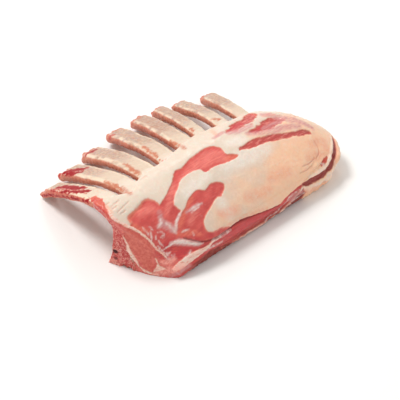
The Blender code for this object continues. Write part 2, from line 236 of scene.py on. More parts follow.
class Surface:
    # a mesh's points and normals, with the masks painted on it

    def __init__(self, mesh):
        self.mesh = mesh
        self.read()

    def read(self):
        count = len(self.mesh.vertices)
        flat = np.empty(count * 3, np.float32)
        self.mesh.vertices.foreach_get("co", flat)
        self.co = flat.reshape(-1, 3).astype(float)
        self.mesh.vertex_normals.foreach_get("vector", flat)
        self.normal = flat.reshape(-1, 3).astype(float)
        self.plan = toPlan(self.co)
        self.tree = None

    def seen(self, rows, withNormals=False):
        # where rows of (px across, px down, mm) of the photograph land on this surface, as (x, y, z, cm)
        if self.tree is None:
            faces = [face.vertices[:] for face in self.mesh.polygons]
            self.tree = BVHTree.FromPolygons(self.co.tolist(), faces)
        turn, eye = viewTurn(), eyePlace()
        focal = view["lens"] / view["sensor"] * view["pixels"]
        half = view["pixels"] / 2
        places, normals = [], []
        for across, down, *rest in rows:
            aim = turn @ Vector(((across + 0.5 - half) / focal, (half - down - 0.5) / focal, -1.0))
            place, normal, _, _ = self.tree.ray_cast(eye, aim.normalized())
            if place is not None:
                places.append([*toPlan(place), *(value / 10 for value in rest)])
                normals.append(normal)
        return (np.array(places), np.array(normals)) if withNormals else np.array(places)

    def push(self, height):
        # moves every point out along its normal by a height in mm
        self.co = self.co + self.normal * np.asarray(height)[:, None] * mm
        self.store()

    def lie(self):
        # nothing reaches below what it lies on
        self.co[:, 2] = np.maximum(self.co[:, 2], 0.0)
        self.store()

    def store(self):
        self.mesh.vertices.foreach_set("co", self.co.astype(np.float32).ravel())
        self.mesh.update()
        self.read()

    def melt(self, passes, sideOf, beyond, facing):
        # smooths the points with y below sideOf and x above beyond, whose normal's z is above facing
        chosen = (self.plan[:, 1] < sideOf) & (self.plan[:, 0] > beyond) & (self.normal[:, 2] > facing)
        shape = bmesh.new()
        shape.from_mesh(self.mesh)
        picked = [vert for vert, wanted in zip(shape.verts, chosen) if wanted]
        smoothed(shape, picked, passes)
        shape.to_mesh(self.mesh)
        shape.free()
        self.read()

    def paint(self, name, mask):
        layer = self.mesh.attributes.new(name, "FLOAT", "POINT")
        layer.data.foreach_set("value", np.clip(mask, 0.0, 1.0).astype(np.float32))


def distanceTo(points, node, limit=8 * mm):
    # cm from each point of the frame to a CAD node, up to the limit
    shape = copyOf(node)
    tree = BVHTree.FromBMesh(shape)
    shape.free()
    found = (tree.find_nearest(point, limit)[3] for point in points.tolist())
    return np.array([limit if away is None else away for away in found]) / cm


# Shaders

class Signal:
    # a shader socket that does sums

    def __init__(self, sheet, socket):
        self.sheet = sheet
        self.socket = socket

    def __add__(self, other):
        return self.sheet.sums("ADD", self, other)

    def __sub__(self, other):
        return self.sheet.sums("SUBTRACT", self, other)

    def __rsub__(self, other):
        return self.sheet.sums("SUBTRACT", other, self)

    def __mul__(self, other):
        return self.sheet.sums("MULTIPLY", self, other)

    def __abs__(self):
        return self.sheet.sums("ABSOLUTE", self, 0.0)

    __radd__ = __add__
    __rmul__ = __mul__


class Sheet:
    # one material and the nodes in it

    def __init__(self, name, fixed):
        self.material = bpy.data.materials.new(name)
        self.material.use_nodes = True
        self.nodes = self.material.node_tree.nodes
        self.links = self.material.node_tree.links
        self.shader = self.nodes["Principled BSDF"]
        for socket, value in fixed.items():
            self.shader.inputs[socket].default_value = value
        self.place = self.node("ShaderNodeTexCoord", {}, {}, "Object")

    def plug(self, socket, value):
        if isinstance(value, Signal):
            self.links.new(value.socket, socket)
        else:
            socket.default_value = value

    def node(self, kind, settings, inputs, out=0):
        made = self.nodes.new(kind)
        for name, value in settings.items():
            setattr(made, name, value)
        for name, value in inputs.items():
            self.plug(made.inputs[name], value)
        return Signal(self, made.outputs[out])

    def sums(self, operation, a, b):
        return self.node("ShaderNodeMath", {"operation": operation}, {0: a, 1: b})

    def clear(self, value, low, high):
        # 0 below low, 1 above high, smooth between
        return self.node("ShaderNodeMapRange", {"interpolation_type": "SMOOTHSTEP"},
                         {"Value": value, "From Min": low, "From Max": high})

    def painted(self, name):
        return self.node("ShaderNodeAttribute", {"attribute_name": name}, {}, "Fac")

    def along(self, turn, stretch):
        # the object's place turned about z and stretched, for grain
        return self.node("ShaderNodeMapping", {},
                         {"Vector": self.place, "Rotation": (0, 0, math.radians(turn)), "Scale": stretch})

    def noise(self, size, detail=3.0, rough=0.55, where=None):
        # size is the width of its lumps in mm
        return self.node("ShaderNodeTexNoise", {}, {
            "Vector": where or self.place, "Scale": 1.0 / mm / size, "Detail": detail, "Roughness": rough})

    def mix(self, share, low, high):
        # from one colour to another, each a signal or a name from colours
        low, high = (tone if isinstance(tone, Signal) else (*colours[tone], 1.0) for tone in (low, high))
        return self.node("ShaderNodeMix", {"data_type": "RGBA"}, {0: share, 6: low, 7: high}, 2)

    def blend(self, value, start, end, low, high):
        # the same, while a value goes from start to end
        return self.mix(self.clear(value, start, end), low, high)

    def finish(self, colour, rough, coat, height, depth):
        bump = self.node("ShaderNodeBump", {}, {"Height": height, "Strength": 1.0, "Distance": depth * mm})
        looks = {"Base Color": colour, "Roughness": rough, "Coat Weight": coat, "Normal": bump}
        for socket, value in looks.items():
            self.plug(self.shader.inputs[socket], value)
        return self.material


wetFinish = {"Subsurface Weight": 0.2, "Subsurface Radius": (1.0, 0.3, 0.2), "Subsurface Scale": 0.0018,
             "Coat Roughness": 0.14, "Coat IOR": 1.38, "IOR": 1.36}

colours = {
    "ivory": (0.71, 0.59, 0.48), "tallow": (0.84, 0.77, 0.69), "peach": (0.93, 0.57, 0.37),
    "rosyFat": (0.85, 0.38, 0.24), "thinFat": (0.76, 0.3, 0.2), "edgeFat": (0.88, 0.62, 0.52),
    "edgePink": (0.76, 0.3, 0.22), "meat": (0.56, 0.066, 0.06), "brightMeat": (0.7, 0.11, 0.092),
    "paleMeat": (0.78, 0.28, 0.23), "darkMeat": (0.46, 0.035, 0.04), "purpleMeat": (0.16, 0.014, 0.012),
    # foldShadeMeat: painted shade in the folds low on the side
    "foldShadeMeat": (0.25, 0.042, 0.024), "stripMeat": (0.68, 0.072, 0.06), "eye": (0.56, 0.08, 0.055),
    "eyePale": (0.7, 0.17, 0.115), "agedMeat": (0.46, 0.065, 0.055), "coral": (0.86, 0.25, 0.14),
    "footPink": (0.96, 0.42, 0.34), "lilac": (0.62, 0.27, 0.26), "crimson": (0.56, 0.035, 0.045),
    "rosyMeat": (0.82, 0.24, 0.19), "frayed": (0.52, 0.14, 0.065), "farMeat": (0.34, 0.085, 0.07),
    # creviceShade: painted shade in the slit under the fat flap and in the far crease
    "raw": (0.64, 0.11, 0.065), "creviceShade": (0.3, 0.03, 0.026), "blood": (0.32, 0.004, 0.008),
    # silverAndSheen: silverskin, and painted sheen on the wet meat
    "membrane": (0.78, 0.54, 0.47), "silverAndSheen": (0.84, 0.7, 0.64), "bone": (0.62, 0.445, 0.31),
    "greyBone": (0.4, 0.285, 0.22), "rosyBone": (0.61, 0.235, 0.145), "duskBone": (0.48, 0.14, 0.085),
    "redBone": (0.54, 0.085, 0.06), "stain": (0.58, 0.085, 0.065), "lilacBone": (0.44, 0.31, 0.3),
    # paleEdgeAndHighlight: painted highlight along the ribs' top edges, and their pale lower edge
    "paleEdgeAndHighlight": (0.8, 0.64, 0.48), "duskTop": (0.44, 0.24, 0.17), "sawnBone": (0.8, 0.31, 0.25),
    # holeShade: painted shade inside the hole in the sawn bone
    "holeShade": (0.12, 0.03, 0.03), "bonePink": (0.7, 0.22, 0.16), "marrow": (0.52, 0.035, 0.032),
}


# Flesh: the loin with its cap of fat and the layers under it, in one piece

fleshPlan = {
    "voxel": 0.86, "smoothing": 8,  # mm, passes
    "melts": [(75, -1.8, -9.0, 0.1), (30, 0.3, -9.5, 0.3)],  # passes, then y below, x above, normal's z above
    "grow": {"loin": 0.25, "cap_muscle": 1.3, "seam_fat": 0.7, "fat_cap": 0.25},  # mm
    "sleeveTop": 0.75, "sleeveSide": 0.15, "sleeveSink": -0.5,  # mm that the fat stands on a rib
    "sleeves": [1.4, 0.6, 0.2, 0.7, 1.1, 1.4, 1.0, 0.8],        # y to which the fat runs out on each rib
    "sleeveRun": 2.0,                                           # cm over which it thins out there
    "collar": (1.9, 2.9), "collarUnder": 0.2,  # z over which it runs out on the spine, cm more under it
    "collarThick": 0.7,                        # mm
    "lineEdge": 0.07, "faceEdge": 0.06,        # cm over which a line fades
    "relief": {"fat": 0.75, "tendon": 0.6, "sideBand": 0.3, "raw": 0.5,
               "farRim": 0.5, "hem": 0.5, "membraneAndHighlight": 0.25},  # mm up
    "dents": {"slit": 0.9, "farStrip": 0.8, "farCrease": 0.7, "slits": 0.7, "strip": 0.5},  # mm down
}
# Rows of a place and a half width in cm: (y, z) up the sawn bone, then (x, y) over the bare near corner
spineEdge = [(-2.75, 3.2, 0.3), (-2.35, 4.0, 0.35), (-1.5, 4.6, 0.3), (0.5, 4.7, 0.2)]
nearCorner = [(-12.2, -4.6, 1.0), (-10.6, -4.9, 1.35), (-9.0, -5.6, 1.65), (-7.6, -6.6, 1.6)]

# Patches where the fat is trimmed to the meat: softness and raggedness of the edge in mm, then the outline in
# px of the photograph
barePatches = {
    "shoulder": (3.2, 0.5, [(127, 218), (132, 212), (138, 207), (141.5, 202), (146, 199.3), (151, 200),
        (156, 202), (161, 208), (163, 216), (160, 225), (152.5, 229), (146, 227.5), (139, 226),
        (132, 223)]),
    "streak": (1.5, 0.6, [(157, 209), (163.4, 199), (168, 190), (171.8, 180.5), (174, 171.7),
        (181.8, 167.4), (187, 161), (197, 153.3), (203, 149.4), (211.7, 146.4), (219.7, 147.9),
        (224.6, 153.3), (229.5, 154.3), (237.5, 154.8), (229.5, 160.7), (214.7, 165.7), (205, 171.5),
        (198.9, 169), (190, 172), (185.6, 175), (180, 179.6), (177.3, 187), (174.3, 194), (173, 200),
        (173.8, 206), (180, 210), (178, 215), (175, 221), (174.5, 228), (166, 226), (160, 222)]),
    "tongue": (1.4, 0.5, [(189, 197), (196, 190), (204, 189.8), (208.7, 184.2), (214.3, 182.2),
        (219.8, 182.4), (223.5, 185.2), (220.8, 195.3), (216, 196.3), (212.4, 202), (208.7, 208.3),
        (205.3, 214), (203, 220.5), (204, 227), (206.9, 231), (210, 231.7), (215.4, 230.4), (221, 227),
        (230, 227), (219, 236), (207, 241), (195, 242), (178, 238), (175.5, 232.3), (176.4, 226),
        (178.5, 218.5), (181.3, 212), (185.2, 205.5)]),
    "farLow": (1.4, 1.3, [(238.4, 149.9), (241.4, 146.4), (247.3, 142.4), (255.2, 138.5), (265, 136),
        (275, 133.6), (285, 133), (295, 131), (303.7, 129.6), (309.6, 132.6), (306.6, 134.5), (297, 135.5),
        (284, 138), (265, 142.4), (257, 145.4), (249.3, 148.4)]),
    "farMiddle": (2.2, 2.6, [(248, 132), (253.8, 128), (260, 123.4), (266.6, 119.2), (274.5, 117.8),
        (281.5, 118.2), (284, 121), (277.5, 124), (270, 127.8), (262, 131.4), (253, 133.6)]),
    "farTop": (2.6, 3.4, [(225.5, 133), (230, 127.3), (235, 122.3), (241, 119), (245, 115.5), (253, 114),
        (256, 117.5), (252, 121.5), (245, 125), (238, 129.6), (231, 131.8)]),
}

# Lines on the flesh, in px of the photograph: place across and down, half width in mm
fleshLines = {
    "flap": [(199, 241.2), (207, 240.6), (212.8, 238.4), (219, 235.2), (224.9, 231.4), (229.4, 227.8),
        (235, 222.6), (240.3, 218.8), (247.9, 216), (254.3, 214.6), (260.7, 211.7), (272, 207.2),
        (279.4, 203.4), (283.3, 198.7), (289.6, 192.9), (296, 187.2), (301, 183.6), (307.5, 179.5),
        (315, 174.9), (320, 172.3), (327.5, 167.4), (330.3, 159), (332, 149.6), (331, 141), (330, 135.5)],
    "membrane": [(172, 275), (184, 269), (195, 262), (204, 255), (212, 249), (220, 246), (227, 242.6),
        (234.5, 239.6), (243, 234.4), (254.5, 229.6), (263, 225), (270, 218.6), (275, 214), (281, 209.6),
        (284.5, 206.3), (289, 202.3), (291.3, 199), (294.7, 195.5), (299.2, 191), (301.5, 187)],
    "slit": [(183, 237.6, 0.1), (192, 239.6, 0.25), (200, 241.3, 0.35), (207, 240.8, 0.4),
        (212.8, 238.8, 0.45), (219, 235.6, 0.45), (226, 230.6, 0.45), (234, 224.2, 0.5),
        (240.5, 220.2, 0.5), (248, 217.2, 0.4), (257, 213.8, 0.3), (265, 210.8, 0.2), (279, 204.6, 0.1)],
    "farRim": [(308.5, 177.3, 0.4), (318, 171.6, 0.8), (325.3, 166.6, 0.9), (328.5, 158, 0.9),
        (330.3, 150, 0.9), (330.8, 142, 0.6), (329.5, 137, 0.4)],
    "farCrease": [(302, 181.5, 0.2), (307.5, 175.8, 0.4), (313.9, 169.3, 0.5), (318.5, 165, 0.4),
        (321.5, 160.5, 0.2)],
    "farStrip": [(302.5, 184, 0.8), (306, 182.8, 1.8), (312, 179.8, 2.5), (318.5, 175.8, 2.4),
        (325, 171.4, 2.1), (330, 165, 2.0), (333, 156, 1.9), (334, 148, 1.8), (333, 141, 1.4),
        (331, 136, 0.8)],
    "faceLine": [(102, 205, 0.8), (107, 211, 0.8), (112, 217, 0.7), (119, 222, 0.6), (127, 226, 0.8),
        (132, 227.6, 0.9), (137, 230.6, 0.8), (145, 236.2, 0.7), (151, 242.2, 0.7), (156, 248.4, 0.5),
        (161, 252.4, 0.3), (166, 257, 0.3)],
    "tendon": [(163, 249.5, 0.1), (168.8, 245.4, 0.3), (173.3, 242.2, 0.8), (179, 241.4, 1.3),
        (185.4, 241.8, 1.1), (190, 243, 0.6), (196, 243.6, 0.3), (203, 242.8, 0.1)],
    "sideBand": [(174.5, 268.8, 1.6), (178.5, 265.6, 2.5), (184, 261.8, 2.9), (191, 256.8, 2.9),
        (198, 252.2, 2.3), (203, 249.2, 1.5), (208.5, 245.6, 0.9), (212, 241.2, 0.8), (219, 235.9, 0.7)],
}
# Fine grooves in the fat, in px of the photograph, half width in mm: five slits by the first rib, two nicks
# by the third, three wrinkles at the far end
grooves = [
    [(105.0, 205.0, 0.05), (109.0, 202.6, 0.12)],
    [(109.5, 207.7, 0.05), (118.5, 200.05, 0.12)],
    [(111.75, 209.05, 0.05), (115.75, 206.25, 0.12)],
    [(117.0, 212.2, 0.05), (128.0, 201.75, 0.12)],
    [(120.0, 214.0, 0.05), (125.0, 210.25, 0.12)],
    [(142.5, 178, 0.05), (145, 175.8, 0.2), (147.6, 176.8, 0.05)],
    [(140, 180, 0.05), (142, 179, 0.15)],
    [(313, 141, 0.05), (317, 147, 0.2), (318, 153, 0.2), (315, 159, 0.05)],
    [(302, 166, 0.05), (308, 163.6, 0.2), (313.5, 158, 0.1)],
    [(299, 173, 0.05), (306, 169.5, 0.2), (311, 165, 0.1)],
]
# Soft washes of colour: what they lie on, strength, then strokes of a softness in mm, each of px of the
# photograph across and down with a half width in mm
washes = {
    "coral": ("meat", 0.5, [
        (4.0, [(127, 218.5, 0.3), (133, 211.5, 0.4), (139, 205.5, 0.3)]),
        (3.0, [(133, 225, 0.3), (140, 228.5, 0.5), (147, 231, 0.3)]),
        (3.5, [(179, 226, 0.5), (182.5, 215, 0.6), (186.5, 205, 0.5), (191, 198, 0.3)]),
        (2.5, [(178, 233, 0.5), (185, 233, 1.0), (194, 231.5, 0.6), (200, 235.5, 0.9), (206, 239, 0.5)]),
        (3.0, [(226, 158, 0.8), (232, 156, 0.8), (238, 155, 0.4)]),
        (3.0, [(166.5, 186, 0.2), (171, 176.5, 0.3)])]),
    "rosyMeat": ("meat", 0.7, [
        (6.0, [(184, 180, 1.0), (196, 166, 2.5), (209, 157, 4.0), (220, 155, 3.0)]),
        (5.0, [(169, 196, 0.5), (172, 186, 1.0)]),
        (3.0, [(165, 215, 0.4), (168, 206, 0.8), (171, 200, 0.4)]),
        (4.0, [(154, 260, 0.4), (160, 263, 1.2), (168, 266, 0.8), (177, 263, 0.4)]),
        (4.0, [(190, 222, 0.3), (196, 209, 0.6)]),
        (5.0, [(139, 213, 0.5), (150, 208, 1.5)])]),
    "crimson": ("meat", 0.8, [
        (3.0, [(228.5, 129.5, 0.5), (234, 126, 1.2), (240, 123.5, 0.8)]),
        (2.0, [(249, 132.6, 0.4), (254, 130.4, 0.8), (261, 127, 0.6)]),
        (2.5, [(98, 205.5, 0.8), (103.5, 212, 1.0), (108.5, 220, 1.2), (113, 228, 1.2), (114, 237, 0.8)]),
        (3.0, [(163, 245, 0.4), (168, 241.5, 0.8), (173, 239, 0.4)]),
        (2.5, [(170, 259.5, 0.6), (176, 255.5, 1.0), (183, 250, 1.1), (190, 247.2, 0.5)]),
        (2.0, [(178, 262.5, 0.3), (186, 257, 0.5), (193, 251.5, 0.3)]),
        (2.5, [(196, 238.5, 0.4), (204, 237, 0.8), (212, 234, 0.6)]),
        (3.0, [(228, 234, 0.6), (236, 230.5, 1.5), (248, 223.5, 1.8), (261, 217, 1.2), (272, 211, 0.6)])]),
    "tallow": ("fat", 0.75, [
        (9.0, [(226, 166, 0.5), (240, 159, 3.5), (254, 152, 3.0), (266, 148, 1.0)]),
        (7.0, [(216, 196, 0.5), (222, 205, 1.0), (228, 214, 0.5)]),
        (6.0, [(205, 176, 0.8), (196, 183, 2.0), (186, 193, 1.5)]),
        (6.0, [(243, 139, 0.5), (236, 141, 2.0), (228, 143, 0.5)]),
        (2.0, [(308.5, 177.3, 0.5), (318, 171.6, 0.9), (325.3, 166.6, 1.1), (328.5, 158, 1.1),
            (330.3, 150, 1.0), (330.8, 142, 0.7), (329.5, 137, 0.4)]),
        (3.0, [(304, 187, 0.6), (312, 186.5, 1.2), (322, 181, 1.2), (329, 174, 0.9), (334, 164, 0.6)])]),
    "rosyFat": ("fat", 0.75, [
        (5.0, [(309, 144, 0.6), (316, 141, 1.6), (322, 142, 2.2), (326, 149, 1.8)]),
        (5.0, [(308, 158, 1.0), (315, 156, 1.4), (322, 154, 1.0)]),
        (6.0, [(246, 197, 1.0), (252, 195.5, 1.6), (259, 193, 1.2), (268, 189.5, 0.8)]),
        (6.0, [(220, 214, 0.8), (228, 212, 1.4), (237, 209, 0.8)]),
        (6.0, [(270, 178, 1.0), (279, 174, 1.8), (287, 171, 0.8)]),
        (2.5, [(216, 121, 0.8), (221, 118, 1.2), (225.5, 121, 0.6)]),
        (2.0, [(282, 113.4, 0.5), (288, 114.4, 1.2), (295, 117, 0.8)]),
        (3.0, [(263, 116.5, 0.4), (272, 114.8, 0.8)]),
        (2.5, [(205, 126, 0.4), (211, 131, 0.8), (216, 135.5, 0.5)]),
        (2.0, [(228, 224.5, 0.3), (240, 216.5, 0.6), (251, 213, 0.4), (266, 207.5, 0.3)]),
        (2.0, [(101.5, 203.5, 0.6), (106, 207, 0.8), (111, 212, 0.3)]),
        (4.0, [(305, 190, 1.0), (313, 188, 1.0), (323, 181.5, 0.6)]),
        (2.0, [(332.5, 138, 0.6), (335, 146, 0.9), (335, 156, 0.9), (333, 165, 0.5)])]),
    "frayed": ("all", 0.85, [
        (2.5, [(104, 181, 0.3), (112, 184.5, 0.8), (121, 188.5, 1.3), (129, 193, 1.1)]),
        (2.5, [(124, 163, 0.3), (131, 168, 0.8), (137, 173, 1.5)]),
        (2.5, [(142, 146, 0.3), (151, 152, 0.6), (160, 159, 1.0)]),
        (2.5, [(170, 141, 0.3), (178, 145.5, 0.8), (184, 149, 0.6)]),
        (2.5, [(190, 128, 0.3), (197, 134, 0.7)]),
        (2.5, [(212, 118.5, 0.3), (218, 119, 0.9), (222, 122, 0.6)])]),
    "footPink": ("all", 0.9, [
        (3.5, [(156, 273, 0.4), (163, 272, 1.2), (170, 270.5, 2.6), (176, 269.5, 1.2), (182, 267, 0.8)]),
        (3.0, [(162, 262, 0.3), (169, 261, 0.8), (174, 258.5, 0.3)])]),
    # silverskin on the tendon, and painted sheen on the wet meat
    "silverAndSheen": ("all", 0.7, [
        (3.0, [(158.5, 226, 0.2), (161, 222.5, 0.8), (160, 218, 0.4)]),
        (3.0, [(166, 223, 0.4), (170, 226, 1.1), (174, 229.5, 0.7)]),
        (2.0, [(175, 230, 0.3), (175.5, 222, 0.4), (179, 214, 0.1)]),
        (2.0, [(191, 208.5, 0.2), (198, 204.5, 0.4)]),
        (2.5, [(171, 243, 0.3), (179, 241.5, 1.4), (188, 242.5, 1.0), (199, 243.5, 0.4)])]),
    "lilac": ("all", 0.95, [
        (2.0, [(170, 276, 0.3), (177, 273.5, 0.7), (184, 269, 0.6), (190, 265, 0.3)]),
        (4.0, [(262, 115, 0.8), (270, 115.2, 1.2), (286, 119, 3.0), (295, 120.5, 2.6), (304, 124, 1.6),
            (311, 128, 0.5)]),
        (3.0, [(228, 133, 1.2), (236, 131.5, 1.5), (243, 129, 1.0), (250, 125.5, 0.6)]),
        (3.0, [(247, 133.5, 0.8), (260, 133, 1.2), (272, 130.5, 1.6), (287, 127, 1.6), (298, 126, 1.0)]),
        (3.0, [(159, 212, 0.4), (160.5, 219, 0.7), (165, 225.5, 1.2), (172, 229, 1.2)]),
        (2.0, [(186, 212, 0.2), (194, 206.5, 0.4), (201, 203, 0.2)]),
        (2.5, [(262, 128.5, 0.3), (270, 125, 1.0), (279, 121, 0.6)]),
        (2.5, [(288, 201, 0.6), (294, 196.5, 1.0), (301, 191.5, 0.8)]),
        (2.0, [(213, 138.5, 0.6), (222, 133, 0.8), (231.5, 131.5, 0.5)])]),
}
membraneAndHighlightLines = [  # membranes, and painted highlights along wet edges of fat and on wet meat, in px of the photograph, half width in mm
    [(212, 240.3, 0.3), (216, 238, 0.6), (220, 236.2, 0.7), (225, 233, 0.7), (230.5, 229.6, 0.4)],
    [(205.5, 249.4, 0.5), (209.6, 247.6, 0.6), (214.7, 244.9, 0.5), (222, 241, 0.3)],
    [(175.2, 232, 0.5), (174.8, 228, 0.7), (176, 221, 0.5), (178.3, 215.5, 0.5), (181, 211, 0.3)],
    [(165.5, 222.6, 0.2), (169.5, 225.8, 0.5), (173.5, 229.6, 0.5), (176, 232.6, 0.3)],
    [(159.8, 219, 0.2), (161, 221.8, 0.5), (158.8, 225, 0.2)],
    [(188.5, 210.5, 0.1), (193, 207, 0.25), (197.5, 204.6, 0.3), (201.5, 202.6, 0.1)],
    [(191, 212, 0.1), (195, 208.8, 0.2), (198, 207, 0.1)],
    [(181.5, 231.8, 0.1), (185.5, 229.4, 0.3), (188.5, 229, 0.1)],
    [(192, 231.8, 0.1), (193.3, 234.5, 0.25)],
    [(190.5, 250.5, 0.4), (187.3, 255, 0.4), (182.5, 259.5, 0.2)],
    [(171.3, 255, 0.2), (172.5, 257.5, 0.3), (174, 254, 0.2)],
    [(160, 249, 0.2), (163.5, 252.5, 0.3), (168, 255.6, 0.2)],
    [(142, 227.5, 0.1), (143.5, 229.5, 0.35), (144.8, 231, 0.1)],
    [(146.2, 231.5, 0.1), (147.6, 233.5, 0.3), (148.3, 235.5, 0.1)],
    [(149.8, 231, 0.05), (151, 236, 0.2), (150.8, 240, 0.1)],
    [(155, 235, 0.05), (155.6, 238.5, 0.2)],
    [(157, 232, 0.05), (160.5, 231.3, 0.2), (163.5, 233, 0.15), (164, 236.5, 0.05)],
    [(160, 236.8, 0.05), (161.8, 235.5, 0.2), (162.6, 237.8, 0.05)],
    [(158, 240, 0.05), (160, 243.5, 0.15), (163, 246, 0.05)],
    [(157.5, 246, 0.1), (159.5, 248.5, 0.4), (161.5, 250.5, 0.1)],
    [(163.5, 254.5, 0.1), (167, 257.5, 0.3), (169.5, 259, 0.1)],
    [(166, 252.5, 0.05), (168.5, 253, 0.2), (170.5, 251.5, 0.05)],
    [(281, 207, 0.1), (285.5, 202.5, 0.3), (288.5, 197.5, 0.2), (293, 194, 0.3), (299, 189.5, 0.1)],
    [(288, 203.5, 0.1), (293, 199.5, 0.3), (297.5, 196.5, 0.2), (303, 192, 0.2)],
    [(262, 222.5, 0.1), (268, 217.5, 0.3), (274, 213, 0.2), (279, 209, 0.2)],
    [(149, 226.5, 0.1), (152, 229.5, 0.2)],
    [(320, 163, 0.3), (321.6, 164, 0.5), (323, 163.6, 0.3)],
]
scraps = [  # bright red meat left on the bones and along the rim, in px of the photograph, half width in mm
    [(93.5, 198, 1.8), (98, 200.5, 2.6), (101.5, 205, 1.8), (105, 211, 0.9), (109, 218.5, 0.6)],
    [(132.5, 169.5, 0.6), (136.5, 172.3, 1.4), (139.3, 176, 1.0)],
    [(162.5, 160.3, 0.5), (165.5, 159.3, 0.2)],
    [(249.5, 114.3, 0.8), (254.5, 114.8, 1.2)],
    [(320.6, 164, 0.8), (322.6, 162.8, 1.5), (324.2, 160, 1.5), (325.3, 157.6, 0.7)],
]
faceMarks = {  # areas of the near cut face in px of the photograph: softness in mm, outline
    "eye": (0.5, [(122, 229.5), (127.5, 228.3), (132.5, 229.6), (138.5, 234), (144.5, 239.2),
        (150.6, 245.5), (156, 252.5), (158, 258), (155.4, 263), (152, 270), (146, 268), (142, 264),
        (138, 257.5), (132.5, 250.6), (128, 243), (124, 236.7)]),
    "fatWedge": (0.5, [(152.5, 271.6), (155.5, 266), (156.5, 263.5), (160.3, 265.7), (165.3, 268.8),
        (158.5, 270.8)]),
}
faceLines = {
    "sinew": [(122.5, 236, 0.2), (125.5, 240.5, 0.4), (127.4, 245, 0.8), (128.4, 250, 1.7),
        (129.8, 254, 2.3), (133.5, 257.5, 1.4), (136.8, 261.5, 0.9), (138.5, 265, 0.4)],
    "footFat": [(140, 266.5, 0.5), (144.5, 270.2, 0.8), (151, 273, 0.5), (158, 274.4, 0.4)],
    "threads": [(155, 258, 0.3), (157.5, 263, 0.3), (160.5, 268, 0.2)],
    "footLine": [(140, 270.5, 0.2), (148, 274.5, 0.3), (158, 276.8, 0.3), (168, 277.2, 0.2)],
}


def sleeveOf(number, end):
    # the start of a rib, over which the fat and meat run out
    shape = copyOf(f"rib_{number}")
    cutOff(shape, Vector(toFrame((0.0, end, 0.0))), (0, 1, 0), 4)
    spots = np.array([vert.co for vert in shape.verts])
    ragged = grain(toPlan(spots), 0.5, number) * 0.35 + grain(toPlan(spots), 0.2, number) * 0.15
    for vert, y, wobble in zip(shape.verts, toPlan(spots)[:, 1], ragged):
        up = max(0.0, vert.normal.z) ** 2
        full = fleshPlan["sleeveSide"] + (fleshPlan["sleeveTop"] - fleshPlan["sleeveSide"]) * up
        out = float(rise(y + wobble, end - fleshPlan["sleeveRun"], end))
        vert.co += vert.normal * (full + (fleshPlan["sleeveSink"] - full) * out) * mm
    return shape


def collarOf(node):
    # the top of the sawn spine, over which the flesh runs down
    shape = copyOf(node)
    lowest = fleshPlan["collar"][0] - fleshPlan["collarUnder"]
    cutOff(shape, Vector((0.0, 0.0, lowest * cm)), (0, 0, -1), 3)
    spots = toPlan([vert.co for vert in shape.verts])
    shares = rise(spots[:, 2] + grain(spots, 0.4, 61) * 0.3, *fleshPlan["collar"])
    sink, full = fleshPlan["sleeveSink"], fleshPlan["collarThick"]
    for vert, share in zip(shape.verts, shares):
        vert.co += vert.normal * (sink + (full - sink) * share) * mm
    return shape


